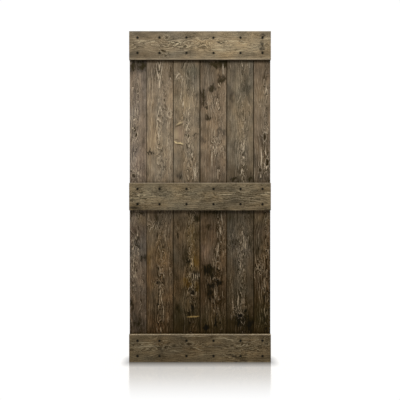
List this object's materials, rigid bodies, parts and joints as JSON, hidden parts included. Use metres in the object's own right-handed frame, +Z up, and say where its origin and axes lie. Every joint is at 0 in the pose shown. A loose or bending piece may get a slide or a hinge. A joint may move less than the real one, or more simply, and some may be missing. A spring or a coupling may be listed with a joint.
{
  "type": "barn door slab",
  "caption": "Tall flat sliding-door slab of upright tongue-and-groove pine boards, held by screwed rails across the top, middle and bottom of its front.",
  "frame": {"origin": "middle of the top rail's front face, where strap hangers are bolted on", "axes": "+Z up along the boards, +X to the right seen from the front, -Y out of the front"},
  "size_m": [0.9144, 0.038, 2.1336],
  "materials": {
    "board_wood": "matte",
    "rail_wood": "matte",
    "screw_steel": "matte"
  },
  "bodies": {
    "root": {"left_edge_board": "board_wood", "left_outer_board": "board_wood", "left_inner_board": "board_wood", "right_inner_board": "board_wood", "right_outer_board": "board_wood", "right_edge_board": "board_wood", "top_rail": "rail_wood", "middle_rail": "rail_wood", "bottom_rail": "rail_wood"}
  },
  "joints": []
}
